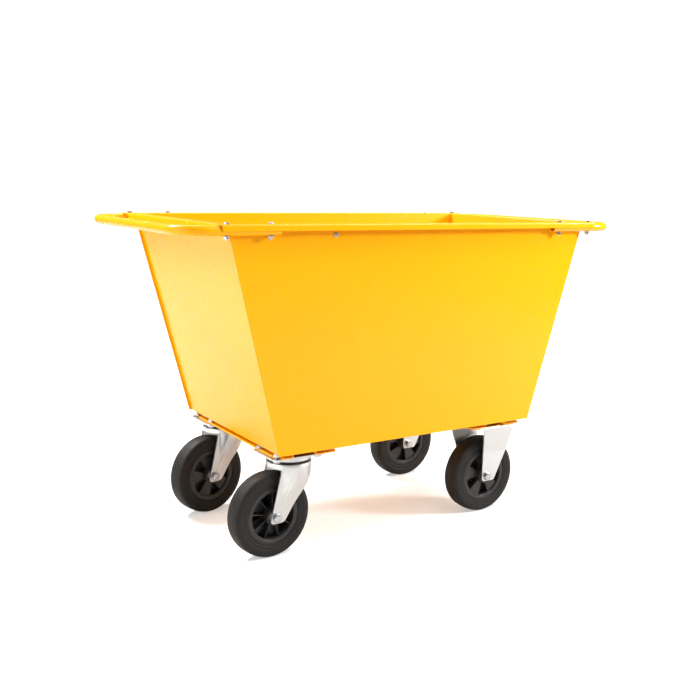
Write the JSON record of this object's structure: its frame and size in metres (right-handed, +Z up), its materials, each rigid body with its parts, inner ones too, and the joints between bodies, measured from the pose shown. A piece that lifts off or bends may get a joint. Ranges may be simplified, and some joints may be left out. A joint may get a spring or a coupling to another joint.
{
  "type": "waste trolley",
  "caption": "Open steel waste trolley with sloping sheet walls, a push bar at each end, and swivel and fixed casters under a flat floor.",
  "frame": {"origin": "on the floor, under the centre of the trolley", "axes": "+X along the trolley towards the fixed casters, +Y across it towards the rear side panel, +Z up"},
  "size_m": [1.2372, 0.58, 0.77],
  "materials": {
    "yellow_paint": "semi-gloss powder coat",
    "caster_zinc": "bright zinc plate",
    "fastener_zinc": "bright zinc plate",
    "ball_steel": "polished",
    "black_rubber": "matt",
    "black_plastic": "satin moulded",
    "cage_nylon": "matt moulded",
    "seal_rubber": "matt"
  },
  "bodies": {
    "tub": {"front_side_panel": "yellow_paint", "rear_side_panel": "yellow_paint", "left_end_panel": "yellow_paint", "right_end_panel": "yellow_paint", "floor_panel": "yellow_paint", "left_handle": "yellow_paint", "right_handle": "yellow_paint", "left_cross_member": "yellow_paint", "right_cross_member": "yellow_paint", "handle_bolts": "fastener_zinc", "handle_nuts": "fastener_zinc", "handle_washers": "fastener_zinc", "side_panel_screw": "fastener_zinc", "side_panel_nut": "fastener_zinc", "caster_plate_bolts": "fastener_zinc", "caster_plate_nuts": "fastener_zinc", "front_left_swivel_top_plate": "caster_zinc", "front_left_kingpin": "fastener_zinc", "front_left_kingpin_nut": "fastener_zinc", "rear_left_swivel_top_plate": "caster_zinc", "rear_left_kingpin": "fastener_zinc", "rear_left_kingpin_nut": "fastener_zinc", "front_right_fixed_fork": "caster_zinc", "front_right_axle_bolt": "fastener_zinc", "front_right_axle_nut": "fastener_zinc", "front_right_axle_sleeve": "fastener_zinc", "rear_right_fixed_fork": "caster_zinc", "rear_right_axle_bolt": "fastener_zinc", "rear_right_axle_nut": "fastener_zinc", "rear_right_axle_sleeve": "fastener_zinc"},
    "front_left_caster": {"front_left_swivel_fork": "caster_zinc", "front_left_swivel_balls": "ball_steel", "front_left_dust_ring": "seal_rubber", "front_left_axle_bolt": "fastener_zinc", "front_left_axle_nut": "fastener_zinc", "front_left_axle_sleeve": "fastener_zinc"},
    "rear_left_caster": {"rear_left_swivel_fork": "caster_zinc", "rear_left_swivel_balls": "ball_steel", "rear_left_dust_ring": "seal_rubber", "rear_left_axle_bolt": "fastener_zinc", "rear_left_axle_nut": "fastener_zinc", "rear_left_axle_sleeve": "fastener_zinc"},
    "front_left_wheel": {"front_left_tyre": "black_rubber", "front_left_rim": "black_plastic", "front_left_bearing_cage": "cage_nylon", "front_left_bearing_rollers": "ball_steel"},
    "rear_left_wheel": {"rear_left_tyre": "black_rubber", "rear_left_rim": "black_plastic", "rear_left_bearing_cage": "cage_nylon", "rear_left_bearing_rollers": "ball_steel"},
    "front_right_wheel": {"front_right_tyre": "black_rubber", "front_right_rim": "black_plastic", "front_right_bearing_cage": "cage_nylon", "front_right_bearing_rollers": "ball_steel"},
    "rear_right_wheel": {"rear_right_tyre": "black_rubber", "rear_right_rim": "black_plastic", "rear_right_bearing_cage": "cage_nylon", "rear_right_bearing_rollers": "ball_steel"}
  },
  "joints": [
    {"name": "front_left_swivel", "type": "hinge", "parent": "tub", "child": "front_left_caster", "pos_m": [-0.306, -0.175, 0.2245], "axis": [0, 0, 1], "continuous": true},
    {"name": "front_left_roll", "type": "hinge", "parent": "front_left_caster", "child": "front_left_wheel", "pos_m": [-0.35985, -0.17895, 0.1], "axis": [-0.0732, 0.9973, 0], "continuous": true},
    {"name": "rear_left_swivel", "type": "hinge", "parent": "tub", "child": "rear_left_caster", "pos_m": [-0.306, 0.175, 0.2245], "axis": [0, 0, 1], "continuous": true},
    {"name": "rear_left_roll", "type": "hinge", "parent": "rear_left_caster", "child": "rear_left_wheel", "pos_m": [-0.35892, 0.16423, 0.1], "axis": [-0.1994, 0.9799, 0], "continuous": true},
    {"name": "front_right_roll", "type": "hinge", "parent": "tub", "child": "front_right_wheel", "pos_m": [0.273, -0.175, 0.1], "axis": [0, 1, 0], "continuous": true},
    {"name": "rear_right_roll", "type": "hinge", "parent": "tub", "child": "rear_right_wheel", "pos_m": [0.273, 0.175, 0.1], "axis": [0, 1, 0], "continuous": true}
  ]
}
